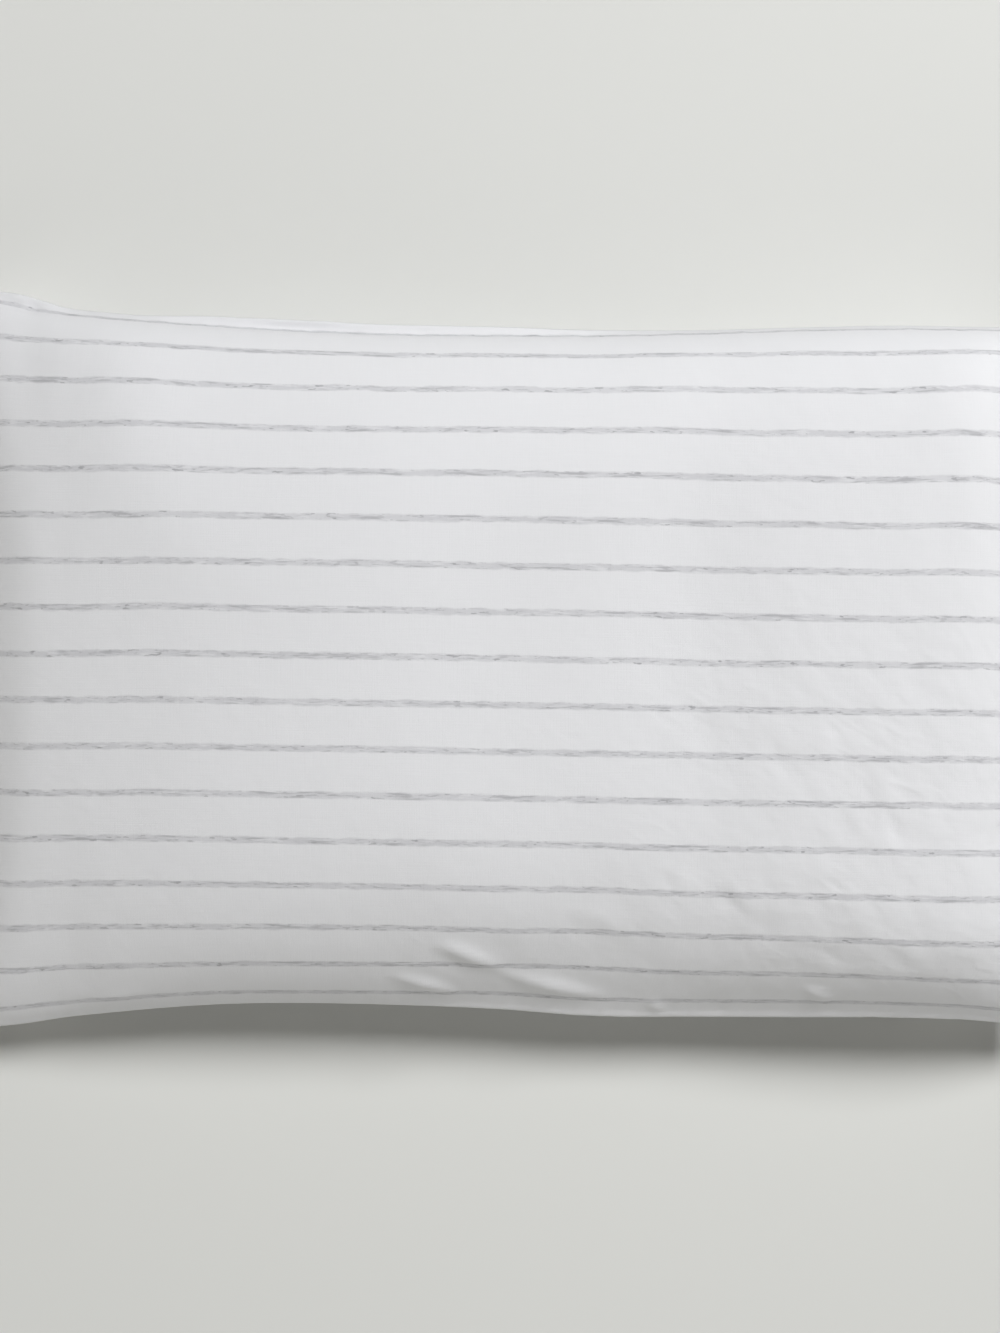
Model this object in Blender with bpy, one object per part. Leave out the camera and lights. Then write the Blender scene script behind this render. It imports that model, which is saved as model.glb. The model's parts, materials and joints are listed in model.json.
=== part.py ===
"""A striped pillowcase of the envelope kind, filled by its pillow and lying on its back.

The front and back panels are sewn together along both long sides and one end, so with the pillow in them they
are one filled solid with a thin sewn edge. The other end is the mouth: two hemmed lips with a narrow slot
between them, and in the slot the flap that is sewn to the front panel and tucked in over the pillow.

Metres, +Z up. X runs along the case, from the sewn end (-X) to the mouth (+X), Y across it, and the case lies
on Z = 0. The origin is at the middle of its underside.
"""

import math
from collections import namedtuple

import bmesh
import bpy
from mathutils import Vector

# The cloth as it is cut and sewn, laid flat.
FLAT_LENGTH = 0.750
FLAT_WIDTH = 0.500

# What filling the case takes off its length at the middle of each end, and how far the corners stand out again.
END_TAKE_UP = 0.0200
CORNER_REACH = 0.0060
CORNER_ROUNDING = 0.0070
HALF_LENGTH = FLAT_LENGTH / 2 - END_TAKE_UP

# The sewn edge: both layers and their turnings pressed flat.
EDGE_WIDTH = 0.0045
EDGE_THICKNESS = 0.0022

# The mouth: two hems with a slot between them that stops short of the corners.
HEM_THICKNESS = 0.0022
SLOT_HEIGHT = 0.0034
SLOT_DEPTH = 0.0180
SLOT_SHARE = 0.84
SLOT_FADE = 0.10

# The tucked-in flap where it shows between the lips.
FLAP_THICKNESS = 0.0012
FLAP_SETBACK = 0.0040
SEWN_GAP = 0.0003

# The steps of the two panels' grids, closest at the edges, where the shape turns fastest.
STEPS_ALONG = 48
STEPS_ACROSS = 36
EDGE_CROWDING = 0.55
FLAP_STEPS = 24

# The underside is pressed flat where it bears on the surface.
BEARING = 1.32
UNDER_SWEEP = 1.6

# How the sections change from the sewn end (-1) to the mouth (1): where the two long seams run, how high they
# stand, how far the crown rises over them, and how square the section is.
Section = namedtuple("Section", "along far_seam near_seam seam_height crown_rise squareness")
SECTIONS = (
    Section(-1.00, 0.2500, -0.2390, 0.0330, 0.0730, 3.4),
    Section(-0.86, 0.2415, -0.2330, 0.0455, 0.0650, 3.5),
    Section(-0.56, 0.2295, -0.2225, 0.0555, 0.0672, 3.1),
    Section(-0.20, 0.2238, -0.2212, 0.0570, 0.0745, 2.6),
    Section(0.16, 0.2208, -0.2285, 0.0565, 0.0728, 2.6),
    Section(0.50, 0.2228, -0.2300, 0.0550, 0.0655, 3.6),
    Section(0.86, 0.2245, -0.2300, 0.0455, 0.0650, 5.2),
    Section(1.00, 0.2370, -0.2420, 0.0350, 0.0780, 5.0),
)

# How square each end is, seen from the side, and how much higher the seam stands at the middle of an end.
SEWN_END_SQUARENESS = 4.6
MOUTH_END_SQUARENESS = 9.0
END_SEAM_LIFT = 0.0160
END_SEAM_REACH = 7

# The main folds of the front panel: soft ridges (rise above zero) and troughs (below it) between two points.
Fold = namedtuple("Fold", "start_x start_y end_x end_y width rise")
FRONT_FOLDS = (
    Fold(-0.0447, -0.1805, 0.0040, -0.1990, 0.0095, 0.0036),
    Fold(-0.0120, -0.1995, 0.0740, -0.2185, 0.0100, 0.0036),
    Fold(-0.0720, -0.2045, -0.0240, -0.2175, 0.0095, 0.0024),
    Fold(0.1653, -0.0410, 0.1950, -0.0823, 0.0150, -0.0012),
    Fold(0.2409, -0.0631, 0.2545, -0.0955, 0.0120, 0.0010),
    Fold(0.2894, 0.1537, 0.2810, 0.0403, 0.0150, -0.0012),
    Fold(-0.3600, 0.2500, -0.2900, 0.1950, 0.0120, 0.0034),
    Fold(-0.3600, -0.2420, -0.2900, -0.1900, 0.0120, 0.0034),
    Fold(0.3620, 0.2380, 0.2960, 0.1850, 0.0120, 0.0034),
    Fold(0.3620, -0.2420, 0.2960, -0.1900, 0.0120, 0.0034),
)
BACK_FOLDS = (
    Fold(-0.360, 0.248, -0.280, 0.190, 0.0120, 0.0040),
    Fold(-0.358, -0.238, -0.282, -0.184, 0.0120, 0.0040),
    Fold(0.360, 0.234, 0.284, 0.180, 0.0120, 0.0040),
    Fold(0.360, -0.238, 0.282, -0.182, 0.0120, 0.0040),
)

# The cloth's plain look in the solids; the stripes are woven in.
CASE_COLOUR = (0.80, 0.80, 0.81, 1.0)
FLAP_COLOUR = (0.76, 0.76, 0.77, 1.0)
CLOTH_ROUGHNESS = 0.9


def clear_scene():
    for old in list(bpy.data.objects):
        bpy.data.objects.remove(old)


def smooth_step(low, high, value):
    """0 below low, 1 above high, and a smooth change between them."""
    share = min(max((value - low) / (high - low), 0.0), 1.0)
    return share * share * (3 - 2 * share)


def section_at(along, column):
    """The column's value at a place along the case, on a smooth curve through the table's rows."""
    rows = SECTIONS
    after = next((i for i, row in enumerate(rows) if row.along >= along), len(rows) - 1)
    after = max(after, 1)
    low, high = rows[after - 1], rows[after]
    step = high.along - low.along
    share = (along - low.along) / step
    start, end = getattr(low, column), getattr(high, column)

    def slope(index):
        """The curve's slope at a row, from its two neighbours."""
        left, right = rows[max(index - 1, 0)], rows[min(index + 1, len(rows) - 1)]
        return (getattr(right, column) - getattr(left, column)) / (right.along - left.along)

    rise, fall = slope(after - 1) * step, slope(after) * step
    return (
        start * (1 + 2 * share) * (1 - share) ** 2
        + rise * share * (1 - share) ** 2
        + end * share**2 * (3 - 2 * share)
        - fall * share**2 * (1 - share)
    )


def round_profile(place, squareness):
    """The height of a rounded section, from 0 at its edges (-1 and 1) to 1 at its middle."""
    return math.sqrt(max(1 - abs(place) ** squareness, 0.0))


def plan_point(along, across):
    """Where a point of the panels lies in plan, for along and across from -1 to 1."""
    reach = HALF_LENGTH + CORNER_REACH * abs(across) ** 4
    corner = (abs(along) * abs(across)) ** 30 * CORNER_ROUNDING
    far = section_at(along, "far_seam")
    near = section_at(along, "near_seam")
    x = along * reach - math.copysign(corner, along)
    y = near + (far - near) * (across + 1) / 2 - math.copysign(corner, across)
    return x, y


def seam_height(along, across):
    """The height of the sheet that the two panels are sewn along."""
    lift = END_SEAM_LIFT * abs(along) ** END_SEAM_REACH * (1 - across**2)
    return section_at(along, "seam_height") + lift


def body_place(place, half):
    """A grid place as seen by the filled body, which ends where the sewn edge begins."""
    inner = 1 - EDGE_WIDTH / half
    return min(abs(place) / inner, 1.0)


def fullness(along, across):
    """How filled the case is there: 0 in the sewn edge, 1 in the middle."""
    squareness = SEWN_END_SQUARENESS if along < 0 else MOUTH_END_SQUARENESS
    lengthwise = round_profile(body_place(along, HALF_LENGTH), squareness)
    crosswise = round_profile(body_place(across, FLAT_WIDTH / 2), section_at(along, "squareness"))
    return lengthwise * crosswise


def edge_half_thickness(along, across):
    """Half the thickness of the edge, which opens at the mouth to hold the slot between its two hems."""
    open_share = smooth_step(SLOT_SHARE + SLOT_FADE, SLOT_SHARE, abs(across))
    open_share *= smooth_step(0.0, 1.0, along)
    mouth = SLOT_HEIGHT / 2 + HEM_THICKNESS
    return EDGE_THICKNESS / 2 + (mouth - EDGE_THICKNESS / 2) * open_share


def front_height(along, across):
    rise = section_at(along, "crown_rise") * fullness(along, across)
    return seam_height(along, across) + edge_half_thickness(along, across) + rise


def back_height(along, across):
    pressed = min(fullness(along, across) * BEARING, 1.0)
    drop = 1 - (1 - pressed) ** UNDER_SWEEP
    level = seam_height(along, across) - edge_half_thickness(along, across)
    return level * (1 - drop)


def grid_places(steps, half):
    """Places from -1 to 1: one step for the sewn edge at each side, then steps that crowd towards it."""
    inner = 1 - EDGE_WIDTH / half
    places = []
    for i in range(steps + 1):
        even = 2 * i / steps - 1
        crowded = math.sin(math.pi / 2 * even)
        places.append(inner * (EDGE_CROWDING * crowded + (1 - EDGE_CROWDING) * even))
    return [-1.0, *places, 1.0]


def fold_rise(folds, x, y):
    """How far all the folds together raise the cloth at a point in plan."""
    total = 0.0
    for fold in folds:
        run_x, run_y = fold.end_x - fold.start_x, fold.end_y - fold.start_y
        length = math.hypot(run_x, run_y)
        forward = ((x - fold.start_x) * run_x + (y - fold.start_y) * run_y) / length
        sideways = ((y - fold.start_y) * run_x - (x - fold.start_x) * run_y) / length
        if 0 < forward < length:
            swell = math.sin(math.pi * forward / length)
            total += fold.rise * swell * math.exp(-((sideways / fold.width) ** 2))
    return total


def add_panel(mesh, along_places, across_places, height):
    """One panel as a grid of points, as a list of columns."""
    columns = []
    for along in along_places:
        column = []
        for across in across_places:
            x, y = plan_point(along, across)
            column.append(mesh.verts.new((x, y, height(along, across))))
        columns.append(column)
    return columns


def rim_of(columns):
    """A panel's outer points in order, anticlockwise from above."""
    last = len(columns) - 1
    near = [column[0] for column in columns]
    mouth = columns[last][1:-1]
    far = [column[-1] for column in reversed(columns)]
    sewn = list(reversed(columns[0][1:-1]))
    return near + mouth + far + sewn


def add_faces(mesh, columns, facing_up):
    for left, right in zip(columns, columns[1:]):
        for j in range(len(left) - 1):
            corners = [left[j], right[j], right[j + 1], left[j + 1]]
            mesh.faces.new(corners if facing_up else corners[::-1])


def press_folds(columns, folds, inner_columns):
    """Moves the points of a panel's filled part along its normals, by the folds' rise."""
    moves = []
    for column in columns[inner_columns]:
        for point in column[2:-2]:
            rise = fold_rise(folds, point.co.x, point.co.y)
            moves.append((point, point.normal * rise))
    for point, move in moves:
        point.co += move


def level_underside(columns):
    """Puts the bearing part back at exactly Z = 0 after the folds."""
    touching = 1e-5
    for column in columns:
        for point in column:
            if point.co.z < touching:
                point.co.z = 0.0


def new_material(name, colour):
    material = bpy.data.materials.new(name)
    material.use_nodes = True
    shader = material.node_tree.nodes["Principled BSDF"]
    shader.inputs["Base Color"].default_value = colour
    shader.inputs["Roughness"].default_value = CLOTH_ROUGHNESS
    shader.inputs["Metallic"].default_value = 0.0
    return material


def new_object(name, mesh, material=None):
    data = bpy.data.meshes.new(name)
    mesh.to_mesh(data)
    mesh.free()
    if material is not None:
        data.materials.append(material)
    made = bpy.data.objects.new(name, data)
    bpy.context.scene.collection.objects.link(made)
    return made


def make_case():
    """The two panels and the edge that joins them, as one closed solid."""
    along_places = grid_places(STEPS_ALONG, HALF_LENGTH)
    across_places = grid_places(STEPS_ACROSS, FLAT_WIDTH / 2)
    mesh = bmesh.new()
    front = add_panel(mesh, along_places, across_places, front_height)
    back = add_panel(mesh, along_places, across_places, back_height)
    add_faces(mesh, front, facing_up=True)
    add_faces(mesh, back, facing_up=False)
    upper, lower = rim_of(front), rim_of(back)
    for i in range(len(upper)):
        mesh.faces.new([lower[i - 1], lower[i], upper[i], upper[i - 1]])
    mesh.normal_update()
    inner_columns = slice(2, -2)
    press_folds(front, FRONT_FOLDS, inner_columns)
    press_folds(back, BACK_FOLDS, inner_columns)
    level_underside(back)
    case = new_object("filled_case", mesh, new_material("striped_cloth", CASE_COLOUR))
    case.data.shade_smooth()
    return case


def mouth_sheet(name, inner_x, outer_x, low, high, share, material=None):
    """A thin closed sheet that follows the mouth, between two depths and two heights about the seam."""
    mesh = bmesh.new()
    rings = []
    for i in range(FLAP_STEPS + 1):
        across = share * (2 * i / FLAP_STEPS - 1)
        edge_x, edge_y = plan_point(1.0, across)
        middle = seam_height(1.0, across)
        corners = ((inner_x, low), (outer_x, low), (outer_x, high), (inner_x, high))
        rings.append([mesh.verts.new((edge_x + dx, edge_y, middle + dz)) for dx, dz in corners])
    for before, after in zip(rings, rings[1:]):
        for k in range(4):
            mesh.faces.new([before[k - 1], before[k], after[k], after[k - 1]])
    mesh.faces.new(rings[0])
    mesh.faces.new(rings[-1][::-1])
    bmesh.ops.recalc_face_normals(mesh, faces=mesh.faces)
    return new_object(name, mesh, material)


def cut_slot(case):
    """Cuts the narrow slot between the two hems into the mouth end."""
    past_edge = 0.010
    half = SLOT_HEIGHT / 2
    cutter = mouth_sheet("slot_cutter", -SLOT_DEPTH, past_edge, -half, half, SLOT_SHARE)
    cutter.hide_render = True
    cutter.display_type = "WIRE"
    slot = case.modifiers.new("slot", "BOOLEAN")
    slot.object = cutter
    slot.operation = "DIFFERENCE"
    slot.solver = "EXACT"


def make_flap():
    """The flap where it shows, lying just under the front hem that it is sewn to."""
    top = SLOT_HEIGHT / 2 - SEWN_GAP
    share = SLOT_SHARE - 0.003
    return mouth_sheet(
        "tuck_flap",
        SEWN_GAP - SLOT_DEPTH,
        -FLAP_SETBACK,
        top - FLAP_THICKNESS,
        top,
        share,
        new_material("flap_cloth", FLAP_COLOUR),
    )


def centre_on_origin(objects):
    """Moves the points so that the middle of the whole box stands over the origin."""
    points = [point.co for made in objects for point in made.data.vertices]
    middle = Vector(((min(p.x for p in points) + max(p.x for p in points)) / 2,
                     (min(p.y for p in points) + max(p.y for p in points)) / 2, 0.0))
    for made in bpy.data.objects:
        for point in made.data.vertices:
            point.co -= middle


def main():
    clear_scene()
    case = make_case()
    cut_slot(case)
    flap = make_flap()
    centre_on_origin((case, flap))


main()
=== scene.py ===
"""The looks of a filled, striped pillowcase that lies on its back.

The case is cut as two flat panels, filled, and settled with Blender's cloth simulation. Its
stripes and its weave are laid out on the flat panels, in metres, so they follow the cloth.

Frame: metres, X along the case towards its mouth, Y across it, Z up, the surface at Z = 0.
"""

import json
import math
from functools import partial

import bmesh
import bpy
import numpy as np
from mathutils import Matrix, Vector

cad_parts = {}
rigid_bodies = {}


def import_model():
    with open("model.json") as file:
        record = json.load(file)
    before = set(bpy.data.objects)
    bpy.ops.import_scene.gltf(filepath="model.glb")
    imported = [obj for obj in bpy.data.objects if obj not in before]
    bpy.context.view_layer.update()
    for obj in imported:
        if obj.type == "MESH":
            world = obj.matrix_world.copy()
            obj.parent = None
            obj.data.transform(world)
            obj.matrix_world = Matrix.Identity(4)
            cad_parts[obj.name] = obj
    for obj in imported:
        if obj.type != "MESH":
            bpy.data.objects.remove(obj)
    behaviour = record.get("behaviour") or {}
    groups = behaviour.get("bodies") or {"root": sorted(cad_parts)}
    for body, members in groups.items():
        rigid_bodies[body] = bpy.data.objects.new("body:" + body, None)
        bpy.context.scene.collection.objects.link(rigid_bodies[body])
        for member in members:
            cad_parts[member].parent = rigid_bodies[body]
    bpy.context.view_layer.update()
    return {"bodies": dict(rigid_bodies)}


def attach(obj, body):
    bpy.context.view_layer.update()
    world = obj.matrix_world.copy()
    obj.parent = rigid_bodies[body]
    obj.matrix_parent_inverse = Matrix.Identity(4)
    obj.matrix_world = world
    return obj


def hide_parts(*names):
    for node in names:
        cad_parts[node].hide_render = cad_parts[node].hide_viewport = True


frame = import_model()
BODY = next(iter(frame["bodies"]))

bl_info = {
    "name": "Striped pillowcase",
    "version": (1, 0, 0),
    "blender": (4, 5, 0),
    "location": "3D View > Sidebar > Pillowcase",
    "description": "Makes a filled, striped pillowcase and the stage that it lies on",
    "category": "Add Mesh",
}

# ---- The shape of the filled case ----

# How the sections change from the sewn end (along -1) to the mouth (along 1). For each: where the
# two long seams run, how high they stand, and how far the crown rises over them; for the far and
# the near side, how square the side is and how steeply it leaves the seam; how far the crest lies
# off the middle; and how far the two layers lie flat on each other beside the far seam.
SECTION_COLUMNS = (
    "along far_seam near_seam seam_height crown "
    "far_square far_edge near_square near_edge crest far_margin"
)
SECTION_ROWS = (
    (-1.00, 0.2540, -0.2440, 0.0330, 0.0758, 5.05, 0.78, 12.65, 1.03, 0.35, 0.0010),
    (-0.88, 0.2469, -0.2376, 0.0440, 0.0820, 2.17, 0.64, 5.36, 0.83, 0.25, 0.0054),
    (-0.80, 0.2383, -0.2328, 0.0490, 0.0773, 2.86, 0.57, 4.16, 0.80, 0.14, 0.0024),
    (-0.72, 0.2341, -0.2293, 0.0540, 0.0739, 2.82, 0.61, 4.96, 0.80, 0.28, 0.0012),
    (-0.54, 0.2315, -0.2235, 0.0605, 0.0741, 2.07, 0.59, 4.77, 0.80, 0.21, 0.0049),
    (-0.18, 0.2256, -0.2234, 0.0625, 0.0765, 2.40, 0.62, 4.33, 0.87, 0.15, 0.0054),
    (0.00, 0.2243, -0.2264, 0.0610, 0.0727, 2.28, 0.61, 6.52, 1.18, 0.30, 0.0046),
    (0.18, 0.2224, -0.2312, 0.0585, 0.0725, 2.15, 0.61, 5.65, 1.11, 0.40, 0.0024),
    (0.36, 0.2223, -0.2317, 0.0580, 0.0670, 3.47, 0.68, 7.61, 1.23, 0.32, 0.0002),
    (0.54, 0.2234, -0.2313, 0.0640, 0.0657, 4.35, 0.59, 5.79, 1.23, -0.06, 0.0002),
    (0.72, 0.2242, -0.2311, 0.0690, 0.0615, 5.67, 0.60, 5.49, 1.25, -0.28, 0.0003),
    (0.88, 0.2240, -0.2338, 0.0640, 0.0625, 9.11, 0.66, 4.55, 1.12, -0.40, 0.0000),
    (1.00, 0.2261, -0.2401, 0.0470, 0.0677, 7.80, 0.49, 4.27, 0.82, -0.40, 0.0023),
)
SECTIONS = dict(zip(SECTION_COLUMNS.split(), np.array(SECTION_ROWS).T))

# The sections are measured from a line that runs this far off the middle of the whole case, and
# the flat margin at a seam as a share of this half width.
MIDDLE_Y = 0.0045
HALF_WIDTH = 0.225

# Each end as seen from the side: how square it is and how sharp its edge, how its seam arches,
# and how far the corners reach past its middle.
SEWN_END = (4.15, 0.65)
MOUTH_END = (15.0, 0.65)
END_ARCH, END_ARCH_POWER = 0.016, 7
CORNER_REACH, CORNER_POWER = 0.006, 4

# The underside, pressed flat by the weight of the case: how much of it bears, how it sweeps up to
# the seam, and how square it is and how sharp its edge.
BEARING, UNDER_SWEEP = 1.30, 1.6
UNDER_SIDE = (3.0, 0.60)
UNDER_END_EDGE = 0.55

# How finely the surface is measured, along and across, to space the points of a panel evenly.
MEASURED_LINES = (361, 241)
EVENING_ROUNDS = 12

# The folds of the front panel that the filling and the seams pull into it, in millimetres: the
# start and the end of each, how far it bows sideways between them, its width and its rise, which
# is below zero for a trough.
FOLDS = (
    (-44.5, -179.2, 4, -198.5, 1, 4.8, 3),
    (-4, -199, 73.5, -218.2, -1.2, 4.8, 3.4),
    (-74, -201.8, -24.5, -215.5, 0.4, 3.6, 2.7),
    (-52.7, -185.4, -14.5, -201.3, 0, 6, -0.6),
    (-9.2, -176.2, 15.8, -188.1, 0, 6, -0.5),
    (197.5, -208.5, 219, -221.5, 0, 3.2, 2.1),
    (94, -219.6, 110, -229.9, 0, 3, 1.4),
    (229.7, -59.2, 241.3, -91.5, 0, 5.2, -1),
    (240.9, -63.1, 254.5, -95.5, 0, 5, 0.8),
    (246.3, -90.4, 261.8, -120.2, 0, 4, -1.1),
    (237.2, -94.3, 251.5, -122.8, 0, 4.8, 0.7),
    (215, -85.1, 227.3, -118.8, 0, 5, -0.8),
    (224, -81.3, 234.4, -113.6, 0, 4.8, 0.6),
    (165.3, -41, 195, -82.3, 0, 9, -1.1),
    (202.1, -29.4, 215.7, -63, 0, 6, 0.8),
    (161.9, -159, 182.8, -179.9, 0, 6.2, -0.8),
    (138, -141.6, 157.6, -163.7, 0, 5.2, -0.9),
    (147.1, -139, 169.3, -162.4, 0, 5.2, 0.7),
    (101.4, -131, 115.7, -147.8, 0, 4.2, -0.8),
    (109.2, -128.4, 124.8, -146.5, 0, 4.4, 0.6),
    (212.1, -135, 221.2, -150.6, 0, 3.6, -0.8),
    (258.9, -133.7, 265.4, -145.4, 0, 3, -0.8),
    (201.8, -180.5, 224.1, -192.3, 0, 3.8, -1),
    (243.7, -179.2, 267.3, -197.5, 0, 5, -0.8),
    (251.6, -176.6, 276.5, -194.9, 0, 5, 0.6),
    (289.4, 153.7, 281, 40.3, 0, 12, -0.75),
    (261.3, 30, 274.2, -34.5, 0, 11, -1),
    (39.1, -155.6, 91.3, -175.8, 2, 8.5, 1.2),
    (122.6, -21.6, 156.1, -86.1, 0, 12, -0.9),
    (-267.6, -222.2, -231.8, -212.9, 0, 4, 0.8),
    (-291.4, -223.5, -270.2, -210.3, 0, 4, 0.8),
    (-333, 246, -312, 242, 0.4, 3, 1.7),
    (-311, 241.2, -293, 237.2, 0, 2.4, 1.8),
    (-321, 238.5, -294, 237.4, 0, 2.6, -1.4),
    (-276.4, 237, -235, 234.6, 0, 2.2, 1.1),
)
# How a fold fades towards its two ends, and the least share of its width there.
FOLD_FADE, FOLD_LEAST_WIDTH = 1.2, 0.6


def section_value(along, column):
    """A column of the table of sections, on a smooth curve through its rows."""
    places, values = SECTIONS["along"], SECTIONS[column]
    slopes = np.gradient(values, places)
    low = np.clip(np.searchsorted(places, along) - 1, 0, len(places) - 2)
    step = places[low + 1] - places[low]
    share = (along - places[low]) / step
    return (
        values[low] * (1 + 2 * share) * (1 - share) ** 2
        + slopes[low] * step * share * (1 - share) ** 2
        + values[low + 1] * share**2 * (3 - 2 * share)
        - slopes[low + 1] * step * share**2 * (1 - share)
    )


def swell(place, square, edge):
    """The height of a swollen section: 1 at its middle, and 0 at its edges at -1 and 1."""
    return np.maximum(1 - np.abs(place) ** square, 0.0) ** edge


def filled_surface(along, across, front, half_length):
    """Points of one panel on the filled case, for places from -1 to 1 along and across it."""
    reach = half_length + CORNER_REACH * np.abs(across) ** CORNER_POWER

    def of(column):
        return section_value(along, column)

    crest, near = of("crest"), of("near_seam")
    from_crest = (across - crest) / np.where(across > crest, 1 - crest, 1 + crest)
    on_far = from_crest > 0
    square = np.where(on_far, of("far_square"), of("near_square"))
    edge = np.where(on_far, of("far_edge"), of("near_edge"))
    margin = np.where(on_far, np.maximum(of("far_margin"), 0.0), 0.0)
    from_crest = np.clip(from_crest / (1 - margin / (HALF_WIDTH * (1 - crest))), -1, 1)
    end_square, end_edge = (np.where(along < 0, *both) for both in zip(SEWN_END, MOUTH_END))
    seam = of("seam_height") + END_ARCH * np.abs(along) ** END_ARCH_POWER * (1 - across**2)
    if front:
        fullness = swell(along, end_square, end_edge) * swell(from_crest, square, edge)
        height = seam + of("crown") * fullness
    else:
        round_side = swell(along, end_square, UNDER_END_EDGE) * swell(across, *UNDER_SIDE)
        height = seam * (1 - np.minimum(round_side * BEARING, 1.0)) ** UNDER_SWEEP
    y = near + (of("far_seam") - near) * (across + 1) / 2
    return np.stack([along * reach, y, height], axis=-1)


def even_grid(front, half_length):
    """A panel's points, spaced evenly over its surface as the threads of the flat cloth are."""
    fine_along, fine_across = (
        np.sin(np.linspace(-1, 1, count) * np.pi / 2) for count in MEASURED_LINES
    )
    measured = np.meshgrid(fine_along, fine_across, indexing="ij")
    surface = filled_surface(*measured, front, half_length)

    def shares(axis):
        """How far each point lies along its line, as a share of the line's length."""
        steps = np.linalg.norm(np.diff(surface, axis=axis), axis=2)
        run = np.insert(np.cumsum(steps, axis=axis), 0, 0.0, axis=axis)
        return run / np.take(run, [-1], axis=axis)

    def read(table, line, values, places):
        """A table's values on the given lines, at values between the places of its columns."""
        place = np.interp(values, places, np.arange(len(places)))
        low = np.clip(place.astype(int), 0, len(places) - 2)
        return table[line, low] * (1 - place + low) + table[line, low + 1] * (place - low)

    even_along, even_across = (np.linspace(0, 1, cells + 1) for cells in SETTLE_CELLS)
    along_at = np.stack([np.interp(even_along, run, fine_along) for run in shares(0).T], axis=1)
    across_at = np.stack([np.interp(even_across, run, fine_across) for run in shares(1)], axis=1)
    row, column = np.ogrid[: len(even_along), : len(even_across)]
    across = np.repeat(even_across[None, :] * 2 - 1, len(even_along), axis=0)
    for _ in range(EVENING_ROUNDS):
        along = read(along_at, row, across, fine_across)
        across = read(across_at, column, along, fine_along)
    return filled_surface(along, across, front, half_length)


# ---- Settling the cloth ----

# The cells of a panel's grid while it settles, along and across.
SETTLE_CELLS = (110, 74)

# The feel of the cloth while it settles: light, hard to stretch and soft to bend.
CLOTH_FEEL = {
    "quality": 6,
    "mass": 0.01,
    "tension_stiffness": 400,
    "compression_stiffness": 400,
    "shear_stiffness": 40,
    "tension_damping": 10,
    "compression_damping": 10,
    "shear_damping": 10,
    "bending_damping": 0.5,
    "air_damping": 5,
    "use_pressure": True,
    "vertex_group_mass": "held",
}
CLOTH_DISTANCE = 0.0012
# The surface under it: its distance and its friction, how far it is let down for them, and the
# steps that the cloth takes to settle.
SURFACE_DISTANCE, SURFACE_FRICTION, SURFACE_DROP = 0.001, 5, 0.0022
SETTLE_FRAMES = 24
# How suddenly the filling lets go of the cloth towards the long seams and towards the ends.
SEAM_RELEASE, END_RELEASE = 5, 7

# The widest fold that is kept, in cells, and how much of the folds the long seams keep.
FOLD_REACH, SEAM_SHARE = 4.5, 0.35
# How much of them the front keeps, up to this share of its length, fading over the next, and how
# much more round one place near the mouth: the place and its reach.
CALM_SHARE, CALM_REACH, CALM_FADE = 0.25, 0.86, 0.10
LIVELY_SHARE, LIVELY_PLACE, LIVELY_REACH = 0.55, (0.62, -0.55), (0.22, 0.35)


def bell(distance, width):
    """1 where there is no distance, falling smoothly to nothing well past the width."""
    return np.exp(-((distance / width) ** 2))


def eased(share):
    """A share from 0 to 1, with a soft start and a soft end."""
    return share**2 * (3 - 2 * share)


def grid_ids(shape, first=0):
    """Point numbers for a grid, counted on from the first."""
    return first + np.arange(shape[0] * shape[1]).reshape(shape[:2])


def grid_quads(ids, turned=False):
    """The four corners of every cell of a grid of point numbers."""
    corners = [ids[:-1, :-1], ids[1:, :-1], ids[1:, 1:], ids[:-1, 1:]]
    quads = np.stack(corners, axis=-1).reshape(-1, 4)
    return quads[:, ::-1] if turned else quads


def grid_rim(shape):
    """Which points of a grid lie on its rim."""
    rim = np.ones(shape[:2], bool)
    rim[1:-1, 1:-1] = False
    return rim


def sewn_grid(front, back):
    """The two panels joined all round: their points and faces, and each panel's point numbers."""
    front_ids = grid_ids(front.shape)
    inside = ~grid_rim(front.shape)
    back_ids = front_ids.copy()
    back_ids[inside] = front_ids.size + np.arange(inside.sum())
    points = np.concatenate([front.reshape(-1, 3), back[inside]])
    faces = np.concatenate([grid_quads(front_ids), grid_quads(back_ids, True)])
    return points, faces, front_ids, back_ids


def linked(name, data):
    """A new object in the scene."""
    made = bpy.data.objects.new(name, data)
    bpy.context.scene.collection.objects.link(made)
    return made


def mesh_object(name, points, faces=(), edges=()):
    mesh = bpy.data.meshes.new(name)
    mesh.from_pydata([tuple(point) for point in points], edges, faces)
    return linked(name, mesh)


def flat_square(name, half, height=0.0):
    """A square on the surface, or just under it."""
    corners = ((-1, -1), (1, -1), (1, 1), (-1, 1))
    return mesh_object(name, [(x * half, y * half, height) for x, y in corners], [(0, 1, 2, 3)])


def discard(made):
    mesh = made.data
    bpy.data.objects.remove(made)
    bpy.data.meshes.remove(mesh)


def smoothed(values, cells, axes=(0, 1)):
    """A grid of values, blurred over the given number of cells along the given axes."""
    reach = int(cells * 3)
    weights = np.exp(-0.5 * (np.arange(-reach, reach + 1) / cells) ** 2)
    weights /= weights.sum()
    for axis in axes:
        width = [(0, 0)] * 3
        width[axis] = (reach, reach)
        padded = np.pad(values, width, mode="reflect")
        values = np.apply_along_axis(np.convolve, axis, padded, weights, "valid")
    return values


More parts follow.
